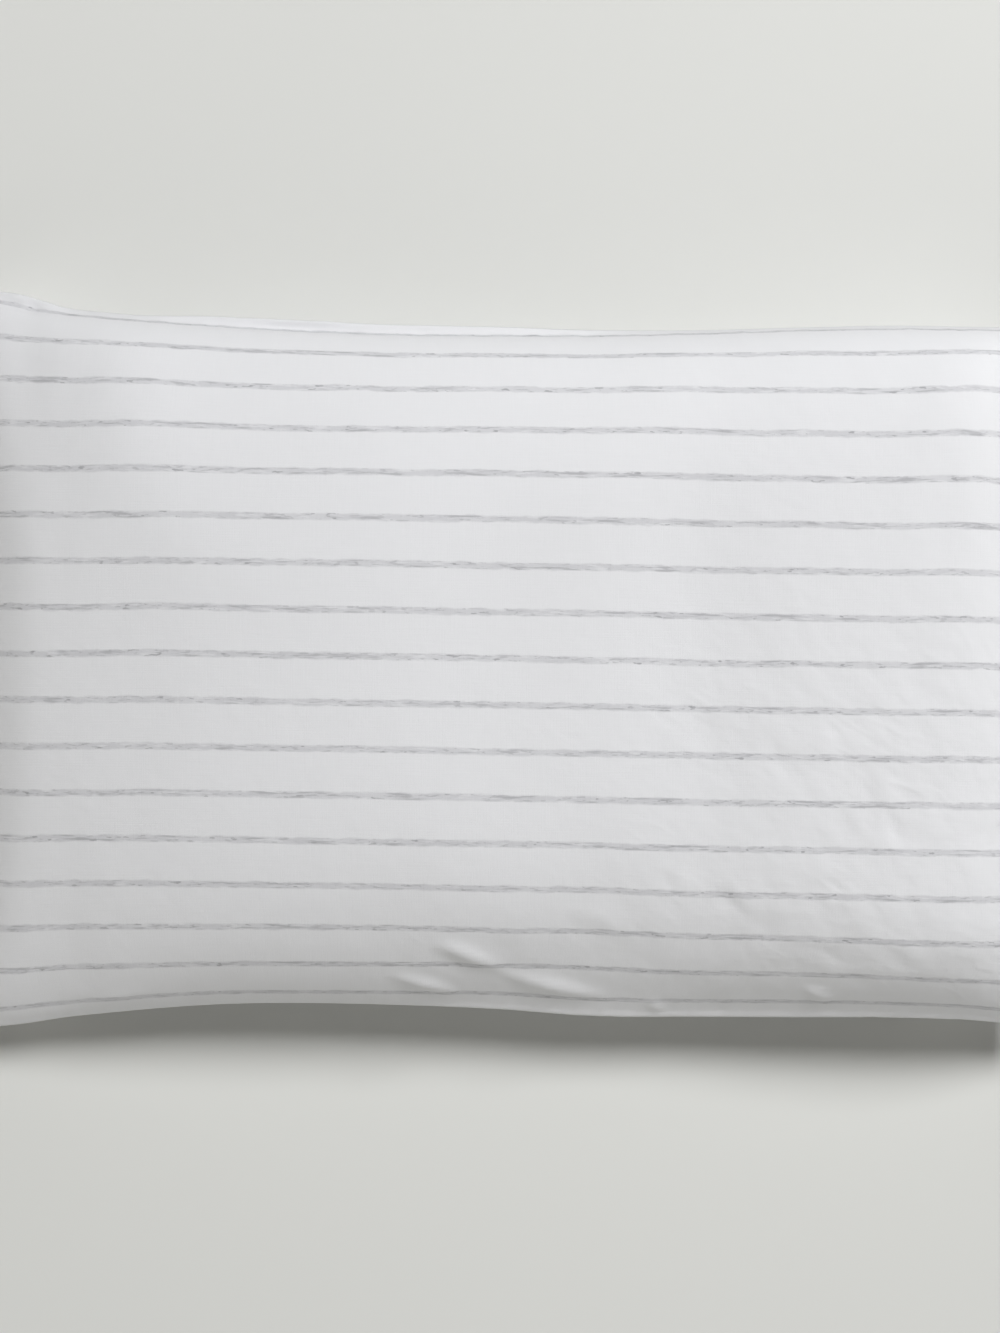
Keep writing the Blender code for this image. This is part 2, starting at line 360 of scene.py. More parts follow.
def keep_folds(move, sizes, front):
    """The folds in a panel's movement, without its broad swelling, and no further than the cap."""
    rows, columns = (np.arange(count) for count in move.shape[:2])
    end_share = bell(np.minimum(rows, rows[::-1])[:, None, None], FOLD_REACH)
    side_share = bell(np.minimum(columns, columns[::-1])[:, None], FOLD_REACH) * (1 - end_share)
    swelling = smoothed(move, FOLD_REACH) * (1 - end_share - side_share)
    swelling += smoothed(move, FOLD_REACH, (1,)) * end_share
    swelling += smoothed(move, FOLD_REACH, (0,)) * side_share
    folds = (move - swelling) * (1 - (1 - SEAM_SHARE) * side_share)
    if front:
        along, across = (np.linspace(-1, 1, count) for count in move.shape[:2])
        lively = bell(along - LIVELY_PLACE[0], LIVELY_REACH[0])[:, None]
        lively = LIVELY_SHARE * lively * bell(across - LIVELY_PLACE[1], LIVELY_REACH[1])
        calm = 1 - np.clip((np.abs(along) - CALM_REACH) / CALM_FADE, 0.0, 1.0)
        folds *= (1 - (1 - CALM_SHARE) * calm[:, None] * (1 - lively))[..., None]
    far = np.linalg.norm(folds, axis=2, keepdims=True)
    return folds * np.minimum(1.0, sizes.most_move / np.maximum(far, 1e-9))


def settle_cloth(front, back, sizes):
    """Lets the two sewn panels settle over the filling, and returns them as they come to lie."""
    points, faces, front_ids, back_ids = sewn_grid(front, back)
    cloth = mesh_object("settling_cloth", points.tolist(), faces.tolist())
    surface = flat_square("settling_surface", 1.0, -SURFACE_DROP)

    # The flat cut panels, a little larger than the filling's skin, are the cloth's rest shape.
    flat_x, flat_y = (
        np.linspace(-0.5, 0.5, count) * length * sizes.spare_cloth
        for count, length in zip(front.shape, (sizes.flat_length, sizes.flat_width))
    )
    flat = np.stack(np.broadcast_arrays(flat_x[:, None], flat_y[None, :], 0.05), axis=-1)
    rest = np.empty_like(points)
    rest[back_ids] = rest[front_ids] = flat
    cloth.shape_key_add(name="Basis")
    rest_key = cloth.shape_key_add(name="flat")
    rest_key.data.foreach_set("co", rest.astype(np.float32).ravel())
    rest_key.value = 0.0

    # The filling holds the cloth where it is full, and lets it go towards the seams.
    along, across = (np.abs(np.linspace(-1, 1, count)) for count in front.shape[:2])
    hold = (1 - across[None, :] ** SEAM_RELEASE) * (1 - along[:, None] ** END_RELEASE)
    hold = sizes.seam_hold + (sizes.middle_hold - sizes.seam_hold) * hold
    weights = np.empty(len(points))
    weights[back_ids] = weights[front_ids] = hold
    group = cloth.vertex_groups.new(name="held")
    for index, weight in enumerate(weights.tolist()):
        group.add([index], weight, "REPLACE")

    surface.modifiers.new("surface", "COLLISION")
    surface.collision.thickness_outer = SURFACE_DISTANCE
    surface.collision.cloth_friction = SURFACE_FRICTION
    scene, settle = bpy.context.scene, cloth.modifiers.new("settle", "CLOTH")
    for name, value in CLOTH_FEEL.items():
        setattr(settle.settings, name, value)
    settle.settings.bending_stiffness = sizes.cloth_stiffness
    settle.settings.uniform_pressure_force = sizes.filling_pressure
    settle.settings.rest_shape_key = rest_key
    settle.settings.effector_weights.gravity = 0
    settle.collision_settings.distance_min = CLOTH_DISTANCE
    for timed in (scene, settle.point_cache):
        timed.frame_start, timed.frame_end = 1, SETTLE_FRAMES
    for step in range(1, SETTLE_FRAMES + 1):
        scene.frame_set(step)
    settled = cloth.evaluated_get(bpy.context.evaluated_depsgraph_get()).data
    found = np.empty(len(points) * 3, np.float32)
    settled.vertices.foreach_get("co", found)
    discard(cloth)
    discard(surface)
    scene.frame_set(1)

    move = found.reshape(-1, 3).astype(float) - points
    moves = [keep_folds(move[front_ids], sizes, True), keep_folds(move[back_ids], sizes, False)]
    rim = grid_rim(front.shape)
    moves[0][rim] = moves[1][rim] = (moves[0][rim] + moves[1][rim]) / 2
    return front + moves[0], back + moves[1]


# ---- From the settled panels to the finished mesh ----

# The places of the finished grid's lines from a seam, and how far apart they are further in.
SEAM_LINES = (0.0, 0.0010, 0.0022, 0.0036, 0.0052, 0.0072)
LINE_STEP = 0.0031

# The sewn edge: the width and rise of its bead, the place, width and depth of its seam's groove,
# and the two distances between which small puckers lie.
BEAD_WIDTH, BEAD_RISE = 0.0018, 0.00012
GROOVE_PLACE, GROOVE_WIDTH, GROOVE_DEPTH = 0.0048, 0.0022, 0.00010
PUCKER_START, PUCKER_REACH = 0.004, 0.016
# The seed and the spacing of each side's ripple, and what the back adds to the seeds.
NEAR_RIPPLE, FAR_RIPPLE, END_RIPPLE, HEM_RIPPLE = (3, 0.021), (4, 0.023), (5, 0.022), (6, 0.012)
BACK_SEEDS = 40
# The lengths of a ripple's waves in spacings, the range of their heights, how many spacings lie
# between two calm places, and how much of the ripple is left there.
RIPPLE_WAVES, RIPPLE_HEIGHTS, RIPPLE_CALM, RIPPLE_LEAST = (1.0, 0.61, 1.7), (0.3, 0.6), 5.3, 0.35
# The hem: its rise and the length of its step, the groove that its stitches pull into it, and
# how far and how high it ripples round them.
HEM_RISE, HEM_STEP = 0.0004, 0.0012
STITCH_GROOVE_WIDTH, STITCH_GROOVE_DEPTH = 0.0016, 0.0005
HEM_RIPPLE_REACH, HEM_RIPPLE_RISE = 0.009, 0.00022
# Up to this height the underside is smooth, and up to this height it is thinner at the edge.
SMOOTH_HEIGHT, BEARING_HEIGHT = 0.002, 0.010

# The mouth: over what shares of the width the slot and the hems close towards its ends, how far
# in the two panels part, and the least half height of an open slot.
SLOT_FADE, HEM_END, HEM_FADE = 0.03, 0.97, 0.08
PARTING_REACH, SLOT_LEAST = 0.020, 0.00025
# How far in the sewn edge is thick, and how its thickness is shared by the two panels.
EDGE_REACH, EDGE_UP, EDGE_DOWN = 0.003, 0.2, 1.8
# How far the rim is rounded, as a share of its thickness and at most, and each lip of the mouth.
RIM_SHARE, RIM_MOST, LIP_ROUND = 0.45, 0.0010, 0.0009
# How far the weave runs on over a lip, row by row, and at the slot's end.
LIP_WEAVE, SLOT_WEAVE = (0.0, 0.001, 0.002), 0.003


def finer_rows(grid, places):
    """Rows of a grid at the given places (0 to 1), on smooth curves through the grid's rows."""
    last = len(grid) - 1
    place = places * last
    low = np.clip(place.astype(int), 0, last - 1)
    share, is_first, is_last = (
        given[:, None, None] for given in (place - low, low == 0, low + 1 == last)
    )
    start, end = grid[low], grid[low + 1]
    before = np.where(is_first, 2 * start - end, grid[low - 1])
    after = np.where(is_last, 2 * end - start, grid[np.minimum(low + 2, last)])
    bend = 2 * before - 5 * start + 4 * end - after
    return start + 0.5 * share * (
        end - before + share * (bend + share * (3 * (start - end) + after - before))
    )


def finer_grid(grid, places):
    """A grid at the given places along it and across it."""
    for axis_places in places:
        grid = finer_rows(grid, axis_places).transpose(1, 0, 2)
    return grid


def line_places(length):
    """Places from 0 to 1 along a length: close together at both ends, and even between."""
    near = np.array(SEAM_LINES)
    count = max(int(round((length - 2 * near[-1]) / LINE_STEP)), 1)
    middle = np.linspace(near[-1], length - near[-1], count + 1)[1:-1]
    return np.concatenate([near, middle, length - near[::-1]]) / length


def fold_rise(x, y):
    """How far the front's folds together raise the cloth at points in plan."""
    total = np.zeros_like(x)
    for start_x, start_y, end_x, end_y, bow, width, rise in np.array(FOLDS) / 1000:
        run_x, run_y = end_x - start_x, end_y - start_y
        length = math.hypot(run_x, run_y)
        forward = ((x - start_x) * run_x + (y - start_y) * run_y) / length**2
        sideways = ((y - start_y) * run_x - (x - start_x) * run_y) / length
        inside = np.clip(forward, 0.0, 1.0)
        strength = np.sin(np.pi * inside) ** FOLD_FADE
        width = width * (FOLD_LEAST_WIDTH + (1 - FOLD_LEAST_WIDTH) * strength)
        total += rise * strength * bell(sideways - bow * 4 * inside * (1 - inside), width)
    return total


def seam_ripple(run, seed, spacing):
    """A small uneven ripple along a seam, from -1 to 1, for distances along it."""
    maker = np.random.default_rng(seed)
    total = np.zeros_like(run)
    for wave in RIPPLE_WAVES:
        swing = np.sin(2 * np.pi * (run / (spacing * wave) + maker.random()))
        total += swing * maker.uniform(*RIPPLE_HEIGHTS)
    calm = np.sin(2 * np.pi * (run / (spacing * RIPPLE_CALM) + maker.random())) * 0.5 + 0.5
    return total * (RIPPLE_LEAST + (1 - RIPPLE_LEAST) * calm)


def dress_panel(grid, flat_along, flat_across, sizes, front):
    """Adds the sewn edge, the hem and the folds to a panel's fine grid."""
    to_stitches = (sizes.flat_length - flat_along)[:, None] - sizes.hem_depth
    to_sewn_end, to_near = flat_along[:, None], flat_across[None, :]
    to_far = sizes.flat_width - to_near
    to_seam = np.minimum(np.minimum(to_near, to_far), to_sewn_end)

    def ripple(run, kind, distance=None):
        seed, spacing = kind
        made = seam_ripple(run, seed if front else seed + BACK_SEEDS, spacing)
        return made if distance is None else made * bell(distance, PUCKER_REACH)

    beside = bell(to_seam, PUCKER_REACH) * (1 - bell(to_seam, PUCKER_START))
    puckers = ripple(to_sewn_end, NEAR_RIPPLE, to_near) + ripple(to_sewn_end, FAR_RIPPLE, to_far)
    puckers = puckers + ripple(to_near, END_RIPPLE, to_sewn_end)
    lift = bell(to_seam, BEAD_WIDTH) * BEAD_RISE + beside * puckers * sizes.pucker
    lift -= bell(to_seam - GROOVE_PLACE, GROOVE_WIDTH) * GROOVE_DEPTH
    lift += HEM_RISE / (1 + np.exp(to_stitches / HEM_STEP))
    lift -= bell(to_stitches, STITCH_GROOVE_WIDTH) * STITCH_GROOVE_DEPTH
    lift += bell(to_stitches, HEM_RIPPLE_REACH) * ripple(to_near, HEM_RIPPLE) * HEM_RIPPLE_RISE
    if front:
        lift = lift + fold_rise(grid[..., 0], grid[..., 1] + MIDDLE_Y)
    else:
        lift = np.where(grid[..., 2] < SMOOTH_HEIGHT, 0.0, lift)
    normals = np.cross(np.gradient(grid, axis=0), np.gradient(grid, axis=1)) * (1 if front else -1)
    normals /= np.maximum(np.linalg.norm(normals, axis=2, keepdims=True), 1e-12)
    return grid + normals * lift[..., None]


def off_middle(flat_across, sizes):
    """How far places across the flat cloth lie off its middle: 0 there, and 1 at the seams."""
    return np.abs(flat_across / sizes.flat_width * 2 - 1)


def slot_opening(flat_across, sizes):
    """Half the height of the slot between the two hems, across the mouth."""
    inside = (sizes.slot_share - off_middle(flat_across, sizes)) / SLOT_FADE
    return sizes.slot_height / 2 * eased(np.clip(inside, 0.0, 1.0))


def open_mouth(front, back, flat_along, flat_across, sizes):
    """Parts the two panels at the mouth by the thickness of their hems and the slot."""
    hem_share = eased(np.clip((HEM_END - off_middle(flat_across, sizes)) / HEM_FADE, 0.0, 1.0))
    half = slot_opening(flat_across, sizes) + sizes.hem_thickness * hem_share
    half = np.maximum(half, sizes.edge_thickness / 2)
    mouth = half[None, :] * bell(sizes.flat_length - flat_along, PARTING_REACH)[:, None]
    to_side = np.minimum(flat_across, sizes.flat_width - flat_across)[None, :]
    edge = bell(np.minimum(to_side, flat_along[:, None]), EDGE_REACH) * sizes.edge_thickness / 2
    front[..., 2] += np.maximum(edge * EDGE_UP, mouth)
    bearing = np.clip(back[..., 2] / BEARING_HEIGHT, 0.0, 1.0)
    back[..., 2] -= np.maximum(edge * EDGE_DOWN, mouth) * bearing
    back[..., 2] = np.maximum(back[..., 2], 0.0)


def add_quads(faces, uvs, ids, marks, turned=False):
    """Adds the quads of a grid of point numbers, with a mark on the cloth for each point."""
    faces += grid_quads(ids, turned).tolist()
    corners = grid_quads(grid_ids(ids.shape), turned)
    uvs += np.reshape(marks, (-1, 2))[corners].reshape(-1, 2).tolist()


def case_mesh(front, back, flat_along, flat_across, sizes):
    """The closed mesh of both panels, with the sewn edge, the mouth's two lips and the slot."""
    front_ids = grid_ids(front.shape)
    back_ids = grid_ids(front.shape, front_ids.size)
    points = [front.reshape(-1, 3), back.reshape(-1, 3)]
    flat = np.stack(np.broadcast_arrays(flat_along[:, None], flat_across[None, :]), axis=-1)
    under = flat * (1, -1)
    faces, uvs = [], []
    add_quads(faces, uvs, front_ids, flat)
    add_quads(faces, uvs, back_ids, under, turned=True)

    # The rim: a rounded strip that joins the two panels, left open along the slot.
    upper, lower = (
        np.concatenate([ids[:, 0], ids[-1, 1:-1], ids[::-1, -1], ids[0, -2:0:-1]])
        for ids in (front_ids, back_ids)
    )
    marks = flat.reshape(-1, 2)[upper]
    above, below = (np.concatenate(points)[ids] for ids in (upper, lower))
    middle = (above + below) / 2
    tangent = np.roll(middle, -1, axis=0) - np.roll(middle, 1, axis=0)
    outward = np.stack([tangent[:, 1], -tangent[:, 0], np.zeros(len(tangent))], axis=1)
    outward /= np.linalg.norm(outward, axis=1, keepdims=True)
    thickness = np.linalg.norm(above - below, axis=1, keepdims=True)
    points.append(middle + outward * np.minimum(thickness * RIM_SHARE, RIM_MOST))
    middle_ids = 2 * front_ids.size + np.arange(len(middle))
    total = middle_ids[-1] + 1
    slot = slot_opening(flat_across, sizes)
    columns = np.flatnonzero(slot > SLOT_LEAST)
    columns = np.arange(columns[0], columns[-1] + 1)
    for place in np.flatnonzero(~np.isin(upper, front_ids[-1, columns[:-1]])):
        after = (place + 1) % len(upper)
        for one, two in ((upper, middle_ids), (middle_ids, lower)):
            faces.append([int(two[place]), int(two[after]), int(one[after]), int(one[place])])
            uvs.extend(tuple(marks[k]) for k in (place, after, after, place))

    # The two lips and the slot between them, one column of points for each place across.
    seam = (front[-1, columns] + back[-1, columns]) / 2
    roof, ground = seam[:, 2] + slot[columns], seam[:, 2] - slot[columns]
    rows = [front_ids[-1, columns]]
    for forward, height in (
        (LIP_ROUND, (front[-1, columns, 2] + roof) / 2),
        (0.0, roof),
        (-sizes.slot_depth, roof),
        (-sizes.slot_depth, ground),
        (0.0, ground),
        (LIP_ROUND, (back[-1, columns, 2] + ground) / 2),
    ):
        points.append(np.column_stack([seam[:, 0] + forward, seam[:, 1], height]))
        rows.append(total + np.arange(len(seam)))
        total += len(seam)
    lip_ids = np.stack([*rows, back_ids[-1, columns]])
    depth = (*LIP_WEAVE, sizes.slot_depth)
    upper_marks = [flat[-1, columns] + (d, 0) for d in (*depth, depth[-1] + SLOT_WEAVE)]
    add_quads(faces, uvs, lip_ids[:5], upper_marks)
    add_quads(faces, uvs, lip_ids[4:], [under[-1, columns] + (d, 0) for d in depth[::-1]])
    for k, turned in ((0, True), (-1, False)):
        end = [*lip_ids[:, k], *middle_ids[upper == lip_ids[0, k]]]
        faces.append([int(number) for number in (end[::-1] if turned else end)])
        uvs.extend([tuple(flat[-1, columns[k]])] * len(end))
    return np.concatenate(points), faces, uvs


def finished_piece(name, points, faces, uvs, material, node):
    """A closed piece that faces outwards, in place of a node of the solids."""
    made = mesh_object(name, np.asarray(points, float), faces)
    mesh = made.data
    layer = mesh.uv_layers.new(name="cloth")
    layer.data.foreach_set("uv", np.array(uvs, np.float32).ravel())
    mesh.materials.append(material)
    mesh.shade_smooth()
    mesh.validate()
    worked = bmesh.new()
    worked.from_mesh(mesh)
    bmesh.ops.recalc_face_normals(worked, faces=worked.faces)
    worked.to_mesh(mesh)
    worked.free()
    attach(made, BODY)
    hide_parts(node)
    return made


# ---- Finishes ----

# How far apart the stripes lie in the noise, so that no two are alike.
LANE_STEP = 7.31
# How far a stripe wanders and how ragged its sides are, in metres, how fine that is along it, and
# the seeds. Then how soft its sides are, and where it is paler: how fine, the seed, the levels of
# the noise between which it changes, and how much of the stripe is left there.
STRIPE_WANDER, WANDER_FINE, WANDER_SEED = 0.0014, 9.0, 2.0
STRIPE_RAGGED, RAGGED_FINE, RAGGED_SEEDS = 0.0034, 85.0, (5.0, 11.0)
STRIPE_SOFT, STRIPE_PALER = (-0.00085, 0.00105), (30.0, 17.0, 0.30, 0.62, 0.74)
# The broken yarns of a stripe: how fine they are along and across it, their seed, the two levels
# of the noise between which they show, and how strongly.
PALE_YARNS = (80.0, 560.0, 53.0, 0.53, 0.68, 0.55)
LONG_YARNS = (52.0, 520.0, 31.0, 0.53, 0.69, 1.00)
SHORT_YARNS = (150.0, 760.0, 71.0, 0.55, 0.69, 0.80)
KNOTS = (130.0, 460.0, 97.0, 0.63, 0.70, 1.35)
# How far past a stripe's side its dark yarns may reach, and over what width they end.
YARN_REACH, YARN_SOFT = 0.0003, 0.0008

# The weave: how fine the slubs of its two sets of yarns are along and across the cloth, and their
# seeds, how fine its crumple is, and what yarns, slubs and crumple add to its height and tone. The
# crumple's share of the tone is painted shade, darker in its hollows and lighter on its rises.
SLUBS, CRUMPLE_FINE = ((30.0, 1500.0, 0.0), (1500.0, 34.0, 3.0)), 55.0
WOVEN_HEIGHT, SLUB_HEIGHT, CRUMPLE_HEIGHT = 0.45, 0.45, 0.6
WEAVE_TONE, SLUB_TONE, CRUMPLE_PAINTED_SHADE = 0.962, 0.030, 0.014

# The creases: the slant in degrees, how many run side by side in a metre, and the seed. Then how
# drawn out they are, how high, and how far they reach.
CREASES = ((-56.0, 48.0, 14.0), (-30.0, 64.0, 24.0))
CREASE_DRAWN, CREASE_HEIGHT, CREASE_REACH = 0.34, 0.30, 0.17
# Where creases and gathers lie: how fine their places are, and the levels between which they show.
CREASE_PLACES, CREASE_SHOWS = 17.0, (0.50, 0.66)
GATHER_PLACES, GATHER_SHOWS = (14.0, 20.0, 44.0), (0.38, 0.62)
# The soft unevenness and the gathers: the slant, the count in a metre along and across it, the
# seed and the detail, and how high they are.
BLOTCHES = (-20.0, 30.0, 44.0, 1.0, 2.0)
HOLLOWS = (-62.0, 20.0, 50.0, 4.0, 1.5)
GATHERS = (-11.0, 34.0, 120.0, 34.0, 2.0)
UNEVEN_HEIGHT, GATHER_HEIGHT = 1.60, 0.55
# Where the cloth is slack along it and across it, and where along it the gathers are: from where
# to where that changes, in metres, and what it is before and after.
SLACK_ALONG, SLACK_ACROSS = (0.38, 0.58, 0.26, 1.0), (0.34, 0.20, 0.35, 1.0)
GATHERS_ALONG = (0.34, 0.48, 0.15, 1.0)
# The two soft sides of the band of gathers, in metres across the cloth.
GATHER_SIDES = (0.034, 0.050), (0.088, 0.062)

# The height of the weave's relief and of the thread's twist.
WEAVE_DEPTH, TWIST_DEPTH = 0.0004, 0.0001

# How far from the case the surface starts to fade into the backdrop, and where it has.
FADE_START, FADE_END = 0.90, 2.00
BLACK = (0.0, 0.0, 0.0, 1.0)


class Value:
    """A number that nodes work out. Arithmetic with it adds the nodes that this takes."""

    def __init__(self, nodes, socket):
        self.nodes, self.socket = nodes, socket

    def maths(operation, turned=False):
        def method(self, *other):
            return self.nodes.math(operation, *((*other, self) if turned else (self, *other)))

        return method

    __add__ = __radd__ = maths("ADD")
    __mul__ = __rmul__ = maths("MULTIPLY")
    __sub__, __rsub__ = maths("SUBTRACT"), maths("SUBTRACT", True)
    __truediv__, __rtruediv__ = maths("DIVIDE"), maths("DIVIDE", True)
    __abs__ = maths("ABSOLUTE")


class Nodes:
    """Adds nodes to a tree; any input may be a value, a socket, or a plain number or colour."""

    def __init__(self, tree):
        self.tree = tree

    def add(self, kind, inputs=(), **settings):
        """A new node with its settings, and its inputs given by name or place."""
        node = self.tree.nodes.new(kind)
        for name, setting in settings.items():
            setattr(node, name, setting)
        for name, given in dict(inputs).items():
            self.join(node.inputs[name], given)
        return node

    def out(self, name, kind, inputs=(), **settings):
        """One output of a new node."""
        return Value(self, self.add(kind, inputs, **settings).outputs[name])

    def join(self, socket, given):
        given = given.socket if isinstance(given, Value) else given
        if isinstance(given, bpy.types.NodeSocket):
            self.tree.links.new(given, socket)
        else:
            socket.default_value = given

    def values(self, node):
        """A node's outputs by name, as values."""
        return {socket.name: Value(self, socket) for socket in node.outputs}

    def math(self, operation, *given):
        return self.out(0, "ShaderNodeMath", enumerate(given), operation=operation)

    def ramp(self, value, low, high, to_low=0.0, to_high=1.0):
        """A smooth change from to_low to to_high as the value goes from low to high."""
        given = enumerate((value, low, high, to_low, to_high))
        return self.out(0, "ShaderNodeMapRange", given, interpolation_type="SMOOTHSTEP")

    def noise(self, place, detail=1.0, scale=1.0):
        """Smooth noise from 0 to 1, at a place given as a vector or as its numbers."""
        if isinstance(place, tuple):
            place = self.out(0, "ShaderNodeCombineXYZ", enumerate(place))
        return self.out("Fac", "ShaderNodeTexNoise", dict(Vector=place, Scale=scale, Detail=detail))

    def mix(self, share, first, second):
        given = dict(Factor=share, A=first, B=second)
        return self.out("Result", "ShaderNodeMix", given, data_type="RGBA")

    def scaled(self, vector, scale):
        return self.out(0, "ShaderNodeVectorMath", {0: vector, "Scale": scale}, operation="SCALE")

    def bump(self, height, distance, strength, **more):
        given = dict(Height=height, Distance=distance, Strength=strength, **more)
        return self.out(0, "ShaderNodeBump", given)


def new_tree(name, kind, inputs, outputs):
    """A new tree's nodes and inputs. An input is given by its default, or else by its kind."""
    tree = bpy.data.node_groups.new(name, kind)
    new_socket = tree.interface.new_socket
    for socket, default in inputs.items():
        kind = default if isinstance(default, str) else type(default).__name__.title()
        made = new_socket(socket, in_out="INPUT", socket_type="NodeSocket" + kind)
        if kind != default:
            made.default_value = default
    for socket, kind in outputs.items():
        new_socket(socket, in_out="OUTPUT", socket_type="NodeSocket" + kind)
    nodes = Nodes(tree)
    return nodes, nodes.values(nodes.add("NodeGroupInput"))


def new_effect(name, inputs, *outputs):
    """A new shader group on the cloth's own coordinates: its nodes, the place, its inputs."""
    inputs = {"Cloth": "Vector", **inputs}
    nodes, given = new_tree(name, "ShaderNodeTree", inputs, dict.fromkeys(outputs, "Float"))
    split = nodes.values(nodes.add("ShaderNodeSeparateXYZ", {0: given["Cloth"]}))
    return nodes, split["X"], split["Y"], given


def woven_stripes():
    """Where the stripes lie on the flat cloth: a soft grey band with darker broken yarns in it."""
    nodes, along, across, given = new_effect(
        "woven_stripes", {"Pitch": 0.030, "First": 0.0115, "Width": 0.0044}, "Band", "Streak"
    )
    steps = (across - given["First"]) / given["Pitch"]
    number = nodes.math("ROUND", steps)
    lane = number * LANE_STEP
    wander = nodes.noise((along * WANDER_FINE, lane, WANDER_SEED)) - 0.5
    off = (steps - number) * given["Pitch"] + wander * STRIPE_WANDER
    half = given["Width"] * 0.5
    band = 1.0
    for turn, seed in zip((1.0, -1.0), RAGGED_SEEDS):
        ragged = (nodes.noise((along * RAGGED_FINE, lane, seed), 4.0) - 0.5) * STRIPE_RAGGED
        band = nodes.ramp(half + ragged - off * turn, *STRIPE_SOFT) * band

    def yarns(along_scale, across_scale, seed, low, high, strength):
        """A mask of broken yarns that run along the stripe."""
        place = (along * along_scale, off * across_scale, lane + seed)
        return nodes.ramp(nodes.noise(place, 3.0), low, high) * strength

    fine, seed, *levels = STRIPE_PALER
    fade = nodes.ramp(nodes.noise((along * fine, lane, seed)), *levels)
    band = band * fade * (1.0 - yarns(*PALE_YARNS))
    streak = nodes.math("MAXIMUM", yarns(*LONG_YARNS), yarns(*SHORT_YARNS))
    streak = nodes.math("MAXIMUM", streak, yarns(*KNOTS))
    held = nodes.ramp(half + YARN_REACH - abs(off), 0.0, YARN_SOFT)
    nodes.add("NodeGroupOutput", {"Band": band, "Streak": streak * held})
    return nodes.tree


def plain_weave():
    """A plain weave with uneven yarns: its height for the bump, and a slight change of tone from
    its slubs, with painted shade that darkens the hollows of its crumple.
    """
    nodes, along, across, given = new_effect("plain_weave", {"Yarn": 0.00055}, "Height", "Tone and shade")
    turns = math.pi / given["Yarn"]
    wave_along, wave_across = (nodes.math("SINE", axis * turns) for axis in (along, across))
    over = nodes.ramp(wave_along * wave_across, -0.4, 0.4)
    woven = abs(wave_across) * over + abs(wave_along) * (1.0 - over)
    first, second = (nodes.noise((along * a, across * b, seed)) for a, b, seed in SLUBS)
    slub = first + second
    crumple = nodes.noise((along * CRUMPLE_FINE, across * CRUMPLE_FINE, 9.0), 3.0)
    height = woven * WOVEN_HEIGHT + slub * SLUB_HEIGHT + crumple * CRUMPLE_HEIGHT
    # The crumple's share of the tone is painted shade: a little darker where the crumple is low,
    # lighter where it is high.
    tone_and_shade = WEAVE_TONE + slub * SLUB_TONE + crumple * CRUMPLE_PAINTED_SHADE
    nodes.add("NodeGroupOutput", {"Height": height, "Tone and shade": tone_and_shade})
    return nodes.tree


def soft_creases():
    """Soft unevenness everywhere, and slanting creases where the cloth is slack, as a height."""
    nodes, along, across, _ = new_effect("soft_creases", {}, "Height")

    def uneven(slant, forward_scale, sideways_scale, seed, detail):
        """Noise that is drawn out along a slanting line."""
        cosine, sine = math.cos(math.radians(slant)), math.sin(math.radians(slant))
        forward = along * cosine + across * sine
        sideways = across * cosine - along * sine
        return nodes.noise((forward * forward_scale, sideways * sideways_scale, seed), detail)

    total = (uneven(*BLOTCHES) + uneven(*HOLLOWS)) * UNEVEN_HEIGHT
    for slant, count, seed in CREASES:
        ridge = abs(uneven(slant, count * CREASE_DRAWN, count, seed, 1.0) - 0.5)
        here = nodes.noise((along * CREASE_PLACES, across * CREASE_PLACES, seed + 2.0))
        crease = nodes.ramp(ridge, 0.0, CREASE_REACH, CREASE_HEIGHT, 0.0)
        total = total + crease * nodes.ramp(here, *CREASE_SHOWS)
    slack = nodes.ramp(along, *SLACK_ALONG) * nodes.ramp(across, *SLACK_ACROSS)

    # Fine gathers here and there in the band of cloth that turns down to the near seam.
    near_side, far_side = (nodes.ramp(across, *side) for side in GATHER_SIDES)
    fine_along, fine_across, seed = GATHER_PLACES
    here = nodes.noise((along * fine_along, across * fine_across, seed))
    here = nodes.ramp(here, *GATHER_SHOWS)
    band = near_side * far_side * here * nodes.ramp(along, *GATHERS_ALONG)
    height = total * slack + uneven(*GATHERS) * GATHER_HEIGHT * band
    nodes.add("NodeGroupOutput", {"Height": height})
    return nodes.tree


def effect(nodes, maker, **inputs):
    """The outputs of a node of a shared effect, which is made when it is first asked for."""
    group = bpy.data.node_groups.get(maker.__name__) or maker()
    return nodes.values(nodes.add("ShaderNodeGroup", inputs, node_tree=group))


def new_material(name, values):
    """A material with the given values on its shader's own sockets: it, its nodes, its inputs."""
    material = bpy.data.materials.new(name)
    material.use_nodes = True
    inputs = material.node_tree.nodes["Principled BSDF"].inputs
    for socket, value in values.items():
        inputs[socket].default_value = value
    return material, Nodes(material.node_tree), inputs


